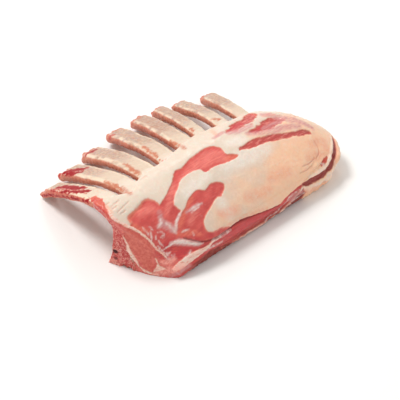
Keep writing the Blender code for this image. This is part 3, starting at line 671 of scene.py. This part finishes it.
def makeFlesh():
    parts = []
    for node, amount in fleshPlan["grow"].items():
        part = copyOf(node)
        swell(part, amount * mm)
        parts.append(part)
    parts += [sleeveOf(number, end) for number, end in enumerate(fleshPlan["sleeves"], 1)]
    parts.append(collarOf("chine_bone"))
    surface = Surface(skinRound("flesh", parts, fleshPlan["voxel"] * mm, fleshPlan["smoothing"]))
    for melting in fleshPlan["melts"]:
        surface.melt(*melting)
    plan, normal = surface.plan, surface.normal
    x, y, z = plan.T
    roam = plan + np.stack([grain(plan, 0.5, k) * 0.03 + grain(plan, 0.17, k + 3) * 0.025
                            for k in (1, 2, 3)], axis=1)
    up, side = normal[:, 2], -normal[:, 1]
    drawn = {name: stroke(roam, surface.seen(rows), fleshPlan["lineEdge"])
             for name, rows in fleshLines.items() if name not in ("flap", "membrane")}

    ragged = np.stack([grain(turned(plan, -15), (0.7, 0.22, 0.4), k) * 0.7 + grain(plan, 0.2, k + 3) * 0.4
                       for k in (51, 52)], axis=1)
    bare = stroke(roam[:, :2], nearCorner, 0.15)
    for soft, rag, outline in barePatches.values():
        spots = plan[:, :2] + ragged * rag / 10
        bare = np.maximum(bare, inside(spots, rounded(surface.seen(outline)[:, :2]), soft / 10))
    below = rise(beside(roam, *surface.seen(fleshLines["flap"], True)), -0.04, 0.03)
    below *= np.maximum(rise(y, -5.0, -5.6), rise(x, 8.6, 9.2))
    # folds below the membrane line: darker meat with painted shade
    shadedFolds = rise(beside(roam, *surface.seen(fleshLines["membrane"], True)), -0.1, 0.1)
    shadedFolds *= rise(y, -6.3, -6.6) * rise(side, -0.2, 0.2) * rise(x, -9.5, -7.0)
    under = rise(up, -0.35, -0.75) * rise(z, 1.0, 0.4)

    ribsAway = np.min([distanceTo(toFrame(roam), f"rib_{n}") for n in range(1, 9)], axis=0)
    fatAway = np.minimum(distanceTo(toFrame(roam), "fat_cap"), distanceTo(toFrame(roam), "loin"))
    hollow = rise(up, -0.05, -0.4) * rise(y, -3.1, -2.7) * rise(z, 1.0, 1.6)
    onRib = rise(fatAway - ribsAway, -0.02, 0.05) * rise(y, -1.6, -1.0)
    ribPink = onRib * rise(up, 0.6, 0.3) * (1.0 - hollow)
    tattered = shaken(plan, 0.3, 0.14, (54, 55, 56))
    raw = np.max([stroke(tattered, surface.seen(path), 0.12) for path in scraps], axis=0)
    raw *= rise(grain(plan, 0.25, 8), -0.9, -0.3)

    faceX = np.interp(y, *zip(*nearFace))
    onFace = rise(x - faceX, 0.6, 0.25) * rise(-normal[:, 0], 0.25, 0.5)
    face = {name: onFace * inside(roam[:, 1:], rounded(surface.seen(outline)[:, 1:3]), soft / 10)
            for name, (soft, outline) in faceMarks.items()}
    face |= {name: onFace * stroke(roam, surface.seen(rows), fleshPlan["faceEdge"])
             for name, rows in faceLines.items()}
    chineAway = distanceTo(toFrame(roam), "chine_bone")
    faceBone = onFace * np.maximum(stroke(roam[:, 1:], spineEdge, 0.15), rise(chineAway, 0.2, 0.08))

    # membranes and painted highlights on the wet meat
    membraneAndHighlight = np.max([stroke(roam, surface.seen(path), 0.1) for path in membraneAndHighlightLines], axis=0)
    hem = stroke(roam, surface.seen([(*px, 0.5) for px in fleshLines["membrane"]]), 0.08)
    hem *= rise(grain(plan, 0.6, 5), -0.7, -0.1) * rise(x, -4.5, -2.0)
    slits = np.max([stroke(plan, surface.seen(path), 0.06) for path in grooves], axis=0)
    tints = {name: np.max([stroke(roam, surface.seen(path), soft / 10) for soft, path in strokes], axis=0)
             for name, (_, _, strokes) in washes.items()}

    boneward = rise(y + grain(plan, 0.5, 31) * 0.4, -0.6, 0.9)
    fat = 1.0 - np.maximum(bare, below)
    fat = fat * (1.0 - ribPink) * (1.0 - hollow) * (1.0 - under) * (1.0 - onFace)
    farFat = below * rise(x + grain(plan, 0.6, 6) * 0.5 + z * 0.3, 4.9, 5.2)
    fatLines = [face[name] for name in ("fatWedge", "sinew", "footFat", "threads", "footLine")]
    fatLines = np.maximum.reduce([drawn["faceLine"], drawn["sideBand"], *fatLines, hem])
    fat = np.maximum.reduce([fat, farFat, fatLines, drawn["farRim"]])
    fat = fat * (1.0 - drawn["slit"]) * (1.0 - drawn["farStrip"]) * (1.0 - raw)
    strip = below * (1.0 - shadedFolds) * (1.0 - farFat) * (1.0 - under)
    # painted shade: the strip darker towards the floor, less so near the cut face
    shadedFolds = np.maximum(shadedFolds, strip * rise(z, 1.4, 0.2) * rise(x, -6.0, -3.0) * 0.8)

    far = rise(x, -2.0, 6.5)
    blush = np.clip(far * 0.6 + rise(-y, 3.8, 5.6) * 0.5 * rise(x, -7.5, -3.5) - rise(y, -3.2, -1.5) * 0.5
                    + grain(plan, 3.0, 11) * 0.25 + grain(plan, 0.9, 12) * 0.2, 0.0, 1.0)

    lumps = grain(plan, 1.3, 21) * 0.35 + grain(plan, 0.5, 22) * 0.18 + grain(plan, 0.25, 23) * 0.1
    fibred = turned(plan, 18)
    fibres = grain(fibred, (1.6, 0.16, 0.5), 24) * 0.15 + grain(fibred, (0.9, 0.3, 0.5), 25) * 0.2
    tendon = drawn["tendon"]
    meat = 1.0 - np.maximum(fat, tendon)
    high, dent = fleshPlan["relief"], fleshPlan["dents"]
    height = fat * (lumps + high["fat"]) + meat * fibres * (1.0 - onFace)
    height = height + high["tendon"] * tendon + high["sideBand"] * drawn["sideBand"]
    height += (-dent["slit"] * drawn["slit"] - dent["farStrip"] * drawn["farStrip"]
               - dent["farCrease"] * drawn["farCrease"] - dent["slits"] * slits - dent["strip"] * strip)
    height += (high["raw"] * raw + high["farRim"] * drawn["farRim"]
               + high["hem"] * hem + high["membraneAndHighlight"] * membraneAndHighlight)
    folds = grain(plan, (0.35, 0.5, 0.9), 28) * 0.9 + grain(plan, (0.9, 0.6, 0.5), 29) * 0.7
    height += shadedFolds * folds + strip * (grain(plan, (1.2, 0.5, 0.35), 27) * 0.5) + farFat * folds * 0.4
    shaggy = rise(x, 4.8, 6.5) * rise(y, -3.6, -2.4) * rise(up, -0.4, 0.2)
    height += shaggy * (grain(plan, (0.5, 0.35, 0.4), 33) * 0.9 + grain(plan, 0.22, 34) * 0.4)
    height += hollow * grain(plan, 0.7, 30) * 0.5
    surface.push(height)
    surface.lie()

    masks = {"fat": fat, "strip": strip, "tendon": tendon, "membraneAndHighlight": membraneAndHighlight, "cutBone": faceBone,
             "blush": blush, "hollow": hollow, "ribPink": ribPink, "shadedFolds": shadedFolds, "slitShadow": drawn["slit"],
             "raw": raw, "farStrip": drawn["farStrip"], "onFace": onFace, "slits": slits,
             "fatLines": fatLines, **tints, "boneward": boneward, "eye": face["eye"],
             "aged": rise(x, -0.5, 2.5) * rise(up, 0.2, 0.6)}
    for name, mask in masks.items():
        surface.paint(name, mask)
    print("flesh", len(surface.co), "points")
    return surface.mesh


def tinted(sheet, colour, layer, streaks):
    # the washes that lie on one layer, broken up by a noise
    for name, (where, strength, _) in washes.items():
        if where == layer:
            share = sheet.painted(name) * (streaks * 0.6 + 0.4)
            colour = sheet.mix(share * strength, colour, name)
    return colour


def fleshFinish():
    sheet = Sheet("flesh", wetFinish)
    fat, tendon, membraneAndHighlight, eye, strip, slitShadow, raw, farStrip, fatLines = (sheet.painted(name) for name in (
        "fat", "tendon", "membraneAndHighlight", "eye", "strip", "slitShadow", "raw", "farStrip", "fatLines"))
    blush, hollow, cutBone, shadedFolds, ribPink, onFace, boneward, aged = (sheet.painted(name) for name in (
        "blush", "hollow", "cutBone", "shadedFolds", "ribPink", "onFace", "boneward", "aged"))
    fibres = sheet.noise(1.0, 4.0, 0.6, sheet.along(18, (0.12, 1.0, 0.5)))
    farFibres = sheet.noise(1.1, 4.0, 0.6, sheet.along(12, (0.16, 1.0, 0.6)))
    strands = sheet.noise(0.9, 3.0, 0.6, sheet.along(0, (0.12, 0.6, 1.0)))
    broad = sheet.noise(7.0, 2.0)
    fine = sheet.noise(0.9, 3.0)
    mottle = sheet.noise(2.6, 4.0, 0.65)

    meat = sheet.blend(fibres * 0.5 + broad, 0.45, 1.05, "meat", "brightMeat")
    meat = sheet.mix(sheet.clear(mottle * 0.6 + fibres * 0.5, 0.56, 0.8) * 0.35, meat, "paleMeat")
    marbled = sheet.mix(sheet.clear(farFibres, 0.5, 0.62) * 0.75, "agedMeat", "paleMeat")
    meat = sheet.mix(aged * 0.75, meat, marbled)
    meat = sheet.mix(onFace * 0.7, meat, sheet.blend(mottle, 0.3, 0.7, "meat", "rosyMeat"))
    meat = sheet.mix(eye * 0.8, meat, sheet.blend(mottle, 0.3, 0.7, "eye", "eyePale"))
    meat = sheet.mix(strip * 0.75, meat, sheet.blend(strands, 0.35, 0.65, "darkMeat", "stripMeat"))
    meat = tinted(sheet, meat, "meat", sheet.clear(fibres, 0.34, 0.64))
    # painted shade in the folds and low on the side, with pale edges
    shadedCreases = sheet.blend(strands * 0.5 + mottle * 0.5, 0.42, 0.58, "purpleMeat", "foldShadeMeat")
    shadedCreases = sheet.mix(sheet.clear(strands * 0.4 + mottle * 0.6, 0.56, 0.66) * 0.3, shadedCreases, "edgePink")
    meat = sheet.mix(shadedFolds * 0.85, meat, shadedCreases)
    meat = sheet.mix(hollow * 0.6, meat, sheet.mix(mottle, "meat", "membrane"))
    meat = sheet.mix(ribPink, meat, sheet.mix(mottle, "bonePink", "paleMeat"))
    pores = sheet.blend(sheet.noise(1.3, 3.0, 0.65), 0.47, 0.62, "marrow", "sawnBone")
    meat = sheet.mix(cutBone, meat, pores)
    meat = sheet.mix(raw, meat, sheet.blend(mottle, 0.3, 0.55, "crimson", "raw"))
    # the far strip: dark meat in a crease, partly painted shade
    meat = sheet.mix(farStrip, meat, sheet.blend(strands, 0.35, 0.65, "creviceShade", "farMeat"))
    # painted shadow in the slit under the edge of the fat flap
    meat = sheet.mix(slitShadow * 0.85, meat, "creviceShade")

    fatColour = sheet.blend(blush + (mottle - 0.5) * 0.5, 0.0, 1.0, "ivory", "peach")
    veins = 1.0 - sheet.clear(abs(sheet.noise(14.0, 5.0, 0.6) - 0.5), 0.0, 0.02)
    fatColour = sheet.mix(veins * blush * 0.12, fatColour, "rosyFat")
    wisps = 1.0 - sheet.clear(abs(sheet.noise(5.0, 4.0, 0.6) - 0.5), 0.0, 0.06)
    fatColour = tinted(sheet, fatColour, "fat", wisps * 0.6 + sheet.clear(broad, 0.3, 0.6) * 0.4)
    flecks = sheet.clear(sheet.noise(2.0, 3.0, 0.6, sheet.along(20, (0.5, 1.0, 1.0))), 0.58, 0.72)
    fatColour = sheet.mix(flecks * (blush * 0.25 + 0.05), fatColour, "rosyFat")
    fatColour = sheet.mix(sheet.clear(broad, 0.45, 0.65) * 0.12, fatColour, "membrane")
    fatColour = sheet.mix(sheet.clear(mottle, 0.5, 0.7) * 0.25, fatColour, "tallow")
    fatColour = sheet.mix(sheet.painted("slits") * 0.4, fatColour, "edgePink")
    streaky = sheet.blend(strands, 0.34, 0.54, "edgePink", "edgeFat")
    fatColour = sheet.mix(fatLines, fatColour, streaky)
    fatColour = sheet.mix(boneward * 0.8, fatColour, sheet.mix(mottle, "bone", "ivory"))
    thin = sheet.clear(fat + (mottle - 0.5) * 0.5, 0.0, 0.55)
    thick = sheet.clear(fat + (mottle - 0.5) * 0.4, 0.5, 1.0)
    colour = sheet.mix(thin * 0.6, meat, "thinFat")
    colour = sheet.mix(thick, colour, fatColour)
    colour = tinted(sheet, colour, "all", sheet.clear(fibres, 0.34, 0.64))
    colour = sheet.mix(tendon * sheet.clear(mottle * 0.6 + strands * 0.4, 0.3, 0.55) * 0.85, colour, "silverAndSheen")
    # membranes and painted highlights, in the pale silverskin colour
    colour = sheet.mix(membraneAndHighlight * (sheet.clear(mottle, 0.4, 0.6) * 0.5 + 0.25), colour, "silverAndSheen")

    rough = 0.34 + thick * 0.14 + (mottle - 0.5) * 0.12 + shadedFolds * 0.25
    coat = (0.45 - thick * 0.25) * (1.0 - shadedFolds * 0.8)
    smooth = sheet.clear(thick + tendon + membraneAndHighlight, 0.0, 0.8)
    height = fibres * (1.0 - smooth) * 0.7 + fine * 0.35 + mottle * 0.6 + thick * 0.5
    return sheet.finish(colour, rough, coat, height, 0.35)


# Ribs: cleaned blades of bone, one piece each

ribPlan = {
    "voxel": 0.7, "grow": 0.35, "smoothing": 18,                 # mm, mm, passes
    "tipSlope": [0.7, 0.4, 0.25, 0.25, 0.25, 0.25, 0.25, 0.35],  # share of the height lost over the tip
    "tipRun": [1.6, 1.0, 0.9, 0.8, 0.8, 0.8, 0.8, 1.0],          # cm
    "tipTaper": 0.2,                                             # share of the width
    "redness": [1.0, 0.55, 0.5, 0.7, 0.75, 0.35, 0.45, 0.5],     # of the near sides and tips
    "dusk": [0.0, 0.15, 0.3, 0.2, 0.7, 0.3, 0.05, 0.3],          # of the tops
}
bloodMarks = {  # blood on the bones: strength, strokes in px of the photograph, half width in mm
    1: [(1.0, [(57, 186.8, 0.5), (63, 186.5, 1.4), (71, 187, 2.0), (78, 187.6, 1.5), (84, 187.6, 0.5)]),
        (0.9, [(62, 191, 0.2), (70, 191.4, 0.5), (79, 191.2, 0.8), (88, 190.6, 0.4)]),
        (0.65, [(42, 195.2, 0.2), (50, 194.6, 0.3), (60, 195.6, 0.2), (70, 197.4, 0.1), (80, 199, 0.2),
            (88, 201, 0.3)]),
        (0.45, [(50, 190, 1.0), (62, 189, 2.5), (78, 190, 2.8), (92, 193, 1.5)])],
    2: [(1.0, [(64, 172, 0.4), (68.5, 170.8, 1.4), (75, 169.8, 2.2), (81, 169, 1.6), (85.5, 167.6, 0.5)]),
        (0.9, [(66, 173.8, 0.4), (74, 173.0, 1.0), (81, 171.5, 0.5)]),
        (0.45, [(60, 174, 1.5), (72, 171, 3.2), (84, 168.5, 2.0)])],
    3: [(0.55, [(86, 154, 0.8), (90, 152, 2.2), (95, 149.5, 1.2)]),
        (0.9, [(88.5, 152.6, 0.2), (92, 151, 0.5), (94.5, 149.8, 0.2)])],
    4: [(0.4, [(106, 141, 0.8), (109, 137.5, 1.6), (113, 134.5, 0.8)])],
}


def brushed(surface, paths, edge):
    # the strongest of some strokes with a ragged edge at each point of a surface
    ragged = shaken(surface.plan, 0.3, 0.16, (71, 72, 73))
    marks = [strength * stroke(ragged, surface.seen(path), edge) for strength, path in paths]
    return np.max(marks or [np.zeros(len(surface.co))], axis=0)


def edgesAlong(plan, step=0.25):
    # lowest and highest x of a rib at each distance along it
    stations = np.arange(plan[:, 1].min() + step, plan[:, 1].max() - step, step)
    slices = [plan[np.abs(plan[:, 1] - station) < step, 0] for station in stations]
    return stations, [part.min() for part in slices], [part.max() for part in slices]


def makeRib(number):
    part = copyOf(f"rib_{number}")
    swell(part, ribPlan["grow"] * mm)
    surface = Surface(skinRound(f"rib{number}", [part], ribPlan["voxel"] * mm, ribPlan["smoothing"]))
    plan = surface.plan
    x, y, z = plan.T
    up = surface.normal[:, 2]
    stations, low, high = edgesAlong(plan)
    low, high = np.interp(y, stations, low), np.interp(y, stations, high)
    lowest = [z[np.abs(y - station) < 0.25].min() for station in stations]
    wide = high - low
    across = (x - low) / wide
    fromTip = y.max() - y
    ending = rise(fromTip, ribPlan["tipRun"][number - 1], 0.0)
    wander = grain(np.column_stack([y * 0.5, y * 0.0, y * 0.0]), 1.0, number) * rise(y, 1.0, 3.0) * 0.12
    bottom = np.interp(y, stations, lowest)
    surface.co[:, 2] -= ending * (z - bottom) * ribPlan["tipSlope"][number - 1] * cm
    surface.co[:, 0] -= ((across - 0.5) * wide * ending * ribPlan["tipTaper"] - wander * (1.0 - ending)) * cm
    surface.co[:, 1] -= ending * rise(grain(plan, 0.5, number), -0.4, 0.5) * 0.2 * cm
    surface.store()
    plan, up = surface.plan, surface.normal[:, 2]
    edge = rise(np.abs(across - 0.5), 0.22, 0.38)
    topSide = rise(up, 0.35, 0.7)
    long = grain(plan, (0.35, 1.5, 0.4), number) * 0.28 + grain(plan, 0.35, number + 9) * 0.14
    nicks = edge * (grain(plan, (0.5, 0.28, 0.5), number + 15) * 0.45)
    knobs = grain(plan, 0.24, number + 20) * 0.7 + grain(plan, 0.55, number + 30) * 0.8
    knuckle = rise(fromTip, 1.2, 0.2) * knobs
    trough = -0.35 * topSide * rise(np.abs(across - 0.52), 0.36, 0.1) * rise(fromTip, 0.3, 1.5)
    surface.push(long + nicks + knuckle + trough)
    surface.lie()

    blood = brushed(surface, bloodMarks.get(number, []), 0.3)
    flank = rise(up + grain(plan, (0.3, 1.2, 0.3), number + 60) * 0.12, 0.72, 0.42)
    redness = ribPlan["redness"][number - 1]
    redSide = redness * flank * rise(-surface.normal[:, 0], -0.2, 0.3) * 0.7
    red = np.maximum(redSide, (0.55 + redness * 0.45) * rise(fromTip, 1.6, 0.2))
    surface.paint("flank", flank)
    surface.paint("red", red)
    # painted highlight along the rounded top edges
    surface.paint("rimHighlight", edge * topSide * rise(grain(plan, (0.4, 1.2, 0.4), number + 70), -0.5, 0.2))
    surface.paint("root", rise(y + grain(plan, 0.6, number + 80) * 0.8, 4.6, 1.0))
    surface.paint("blood", blood)
    surface.paint("frayed", brushed(surface, [(1.0, path) for _, path in washes["frayed"][2]], 0.25))
    surface.paint("dusk", ribPlan["dusk"][number - 1] * rise(y + grain(plan, 0.8, number + 90), 2.0, 5.0))
    surface.paint("hem", flank * rise(surface.plan[:, 2] - bottom, 0.22, 0.12)
                  * rise(-surface.normal[:, 0], 0.0, 0.3) * (1.0 if number == 1 else 0.35))
    return surface.mesh


def boneFinish():
    sheet = Sheet("rib bone", {**wetFinish, "Subsurface Weight": 0.1, "IOR": 1.28})
    flank, red, rimHighlight, root, blood = (sheet.painted(name) for name in ("flank", "red", "rimHighlight", "root", "blood"))
    dusk, hem = sheet.painted("dusk"), sheet.painted("hem")
    streaks = sheet.noise(1.3, 4.0, 0.6, sheet.along(0, (1.0, 0.22, 1.0)))
    mottle = sheet.noise(3.2, 4.0, 0.62)
    fine = sheet.noise(0.8, 3.0)
    top = sheet.blend(streaks, 0.38, 0.62, "greyBone", "bone")
    top = sheet.mix(sheet.clear(sheet.noise(6.0, 3.0), 0.47, 0.6) * 0.5, top, "lilacBone")
    top = sheet.mix(sheet.clear(mottle, 0.46, 0.66) * 0.5, top, "rosyBone")
    top = sheet.mix(dusk * sheet.clear(mottle, 0.2, 0.6), top, "duskTop")
    top = sheet.mix(root, top, sheet.mix(mottle, "bone", "ivory"))
    # painted highlight along the top edges
    top = sheet.mix(rimHighlight * 0.85, top, "paleEdgeAndHighlight")
    sides = sheet.blend(mottle, 0.33, 0.6, "duskBone", "rosyBone")
    sides = sheet.mix(sheet.clear(streaks, 0.55, 0.7) * 0.35, sides, "peach")
    colour = sheet.mix(flank, top, sides)
    colour = sheet.mix(sheet.clear(red + (mottle - 0.5) * 0.9, 0.15, 0.8) * 0.8, colour,
                       sheet.blend(fine, 0.4, 0.6, "redBone", "rosyBone"))
    colour = sheet.mix(sheet.painted("frayed") * sheet.clear(mottle, 0.25, 0.5) * 0.9, colour, "frayed")
    # pale lower edge of the near side, in the same colour
    colour = sheet.mix(hem * sheet.clear(mottle, 0.3, 0.5) * 0.7, colour, "paleEdgeAndHighlight")
    soaked = blood * 1.05 + (streaks - 0.5) * 2.1 + (mottle - 0.5) * 1.4
    colour = sheet.mix(sheet.clear(soaked, 0.1, 0.5) * 0.75 * sheet.clear(blood, 0.0, 0.4), colour, "stain")
    wet = sheet.clear(soaked, 0.4, 0.75) * sheet.clear(blood, 0.1, 0.5)
    colour = sheet.mix(wet, colour, "blood")
    rough = 0.5 + (mottle - 0.5) * 0.15
    return sheet.finish(colour, rough, 0.12 - wet * 0.12, streaks + mottle * 0.8 + fine * 0.3, 0.45)


# Chine: the row of sawn vertebrae under the loin

chinePlan = {
    "voxel": 0.75, "grow": 0.45, "smoothing": 2,                 # mm, mm, passes
    "hole": (-2.66, 1.43, 0.17), "marrow": (-2.68, 0.76, 0.16),  # (y, z, radius) on the near face
    "notches": [(-3.3, 0.1, 0.24), (-3.76, 0.05, 0.2)],          # the same
    "holeDepth": 2.0, "marrowDepth": 0.8, "notchDepth": 1.6,     # mm
}


def makeChine():
    part = copyOf("chine_bone")
    swell(part, chinePlan["grow"] * mm)
    surface = Surface(skinRound("chine", [part], chinePlan["voxel"] * mm, chinePlan["smoothing"]))
    plan, normal = surface.plan, surface.normal
    x, y, z = plan.T
    faceX = np.interp(y, *zip(*nearFace))
    onFace = rise(x - faceX, 0.5, 0.2) * rise(-normal[:, 0], 0.3, 0.6)
    holes = []
    for key in ("hole", "marrow"):
        middleY, middleZ, radius = chinePlan[key]
        holes.append(onFace * rise(np.hypot(y - middleY, z - middleZ), radius * 1.5, radius * 0.6))
    pores = np.abs(grain(plan, 0.16, 3)) + np.abs(grain(plan, 0.3, 4))
    height = onFace * (pores * 0.7 - 0.3)
    height = height - chinePlan["holeDepth"] * holes[0] - chinePlan["marrowDepth"] * holes[1]
    for notchY, notchZ, radius in chinePlan["notches"]:
        bite = rise(np.hypot(y - notchY, z - notchZ), radius * 1.4, radius * 0.5)
        height -= chinePlan["notchDepth"] * bite * rise(x - faceX, 0.8, 0.4)
    height += (1.0 - onFace) * (grain(plan, 0.8, 5) * 0.4 + grain(plan, 0.3, 6) * 0.15)
    surface.push(height)
    surface.lie()
    surface.paint("onFace", onFace)
    surface.paint("hole", holes[0])
    surface.paint("marrow", holes[1])
    surface.paint("pale", rise(grain(plan, (0.9, 0.5, 0.5), 7), 0.0, 0.4))
    surface.paint("toe", onFace * rise(z + grain(plan, 0.3, 9) * 0.2, 1.1, 0.3) * rise(y, -3.3, -2.7))
    return surface.mesh


def chineFinish():
    sheet = Sheet("sawn bone", wetFinish)
    onFace, hole, marrow, pale = (sheet.painted(name) for name in ("onFace", "hole", "marrow", "pale"))
    fine = sheet.noise(0.8, 4.0, 0.65)
    mottle = sheet.noise(2.4, 4.0, 0.6)
    cells = sheet.noise(1.3, 3.0, 0.65)
    face = sheet.blend(cells, 0.47, 0.62, "marrow", "sawnBone")
    face = sheet.mix(sheet.clear(mottle, 0.54, 0.68) * 0.4, face, "membrane")
    face = sheet.mix(sheet.painted("toe") * sheet.clear(mottle, 0.3, 0.6) * 0.6, face, "footPink")
    back = sheet.blend(mottle + pale * 0.3, 0.5, 0.8, "bonePink", "bone")
    colour = sheet.mix(onFace, back, face)
    colour = sheet.mix(sheet.clear(marrow, 0.3, 0.7) * 0.7, colour, "purpleMeat")
    # painted shade inside the hole
    colour = sheet.blend(hole, 0.2, 0.6, colour, "holeShade")
    return sheet.finish(colour, 0.4 + (fine - 0.5) * 0.1, 0.3, fine + mottle * 0.5, 0.5)


def addPiece(name, mesh, finish, slotName, *nodes):
    made = bpy.data.objects.new(name, mesh)
    bpy.context.scene.collection.objects.link(made)
    mesh.materials.clear()
    mesh.materials.append(finish)
    mesh.shade_smooth()
    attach(made, "root")
    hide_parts(*nodes)


# Studio

studio = {
    "key": {"azimuth": 116.0, "height": 60.0, "energy": 30.0, "size": 0.7, "distance": 2.2},  # degrees, W, m
    "sheen": {"azimuth": 52.0, "height": 40.0, "energy": 3.5, "size": 0.3, "distance": 2.0},
    "fill": 0.73, "floor": (0.86, 0.85, 0.83), "floorSize": 4.0,
}


def makeStudio():
    scene = bpy.context.scene
    lens = bpy.data.cameras.new("camera")
    lens.lens = view["lens"]
    lens.sensor_width = view["sensor"]
    camera = bpy.data.objects.new("camera", lens)
    camera.matrix_world = Matrix.LocRotScale(eyePlace(), viewTurn().to_quaternion(), None)
    scene.collection.objects.link(camera)
    scene.camera = camera

    for name in ("key", "sheen"):
        lamp = studio[name]
        around = Matrix.Rotation(math.radians(lamp["azimuth"] + 90), 3, "Z")
        aim = around @ Matrix.Rotation(math.radians(90 - lamp["height"]), 3, "X")
        light = bpy.data.lights.new(name, "AREA")
        light.energy = lamp["energy"]
        light.size = lamp["size"]
        placed = bpy.data.objects.new(name, light)
        spot = aim @ Vector((0, 0, lamp["distance"]))
        placed.matrix_world = Matrix.LocRotScale(spot, aim.to_quaternion(), None)
        scene.collection.objects.link(placed)

    world = bpy.data.worlds.new("studio")
    world.use_nodes = True
    world.node_tree.nodes["Background"].inputs["Color"].default_value = (1.0, 0.99, 0.97, 1.0)
    world.node_tree.nodes["Background"].inputs["Strength"].default_value = studio["fill"]
    scene.world = world
    scene.view_settings.view_transform = "Standard"

    shape = bmesh.new()
    bmesh.ops.create_grid(shape, x_segments=1, y_segments=1, size=studio["floorSize"] / 2)
    floor = bpy.data.objects.new("floor", meshOf(shape, "floor"))
    scene.collection.objects.link(floor)
    paper = Sheet("paper", {"Roughness": 0.7, "Base Color": (*studio["floor"], 1.0)})
    floor.data.materials.append(paper.material)
    print("studio ready")


makeStudio()
addPiece("flesh", makeFlesh(), fleshFinish(), "meat", "loin", "cap_muscle", "seam_fat", "fat_cap")
boneSheet = boneFinish()
for number in range(1, 9):
    addPiece(f"rib{number}", makeRib(number), boneSheet, "bone", f"rib_{number}")
print("ribs ready")
addPiece("chine", makeChine(), chineFinish(), "bone", "chine_bone")
print("chine ready")
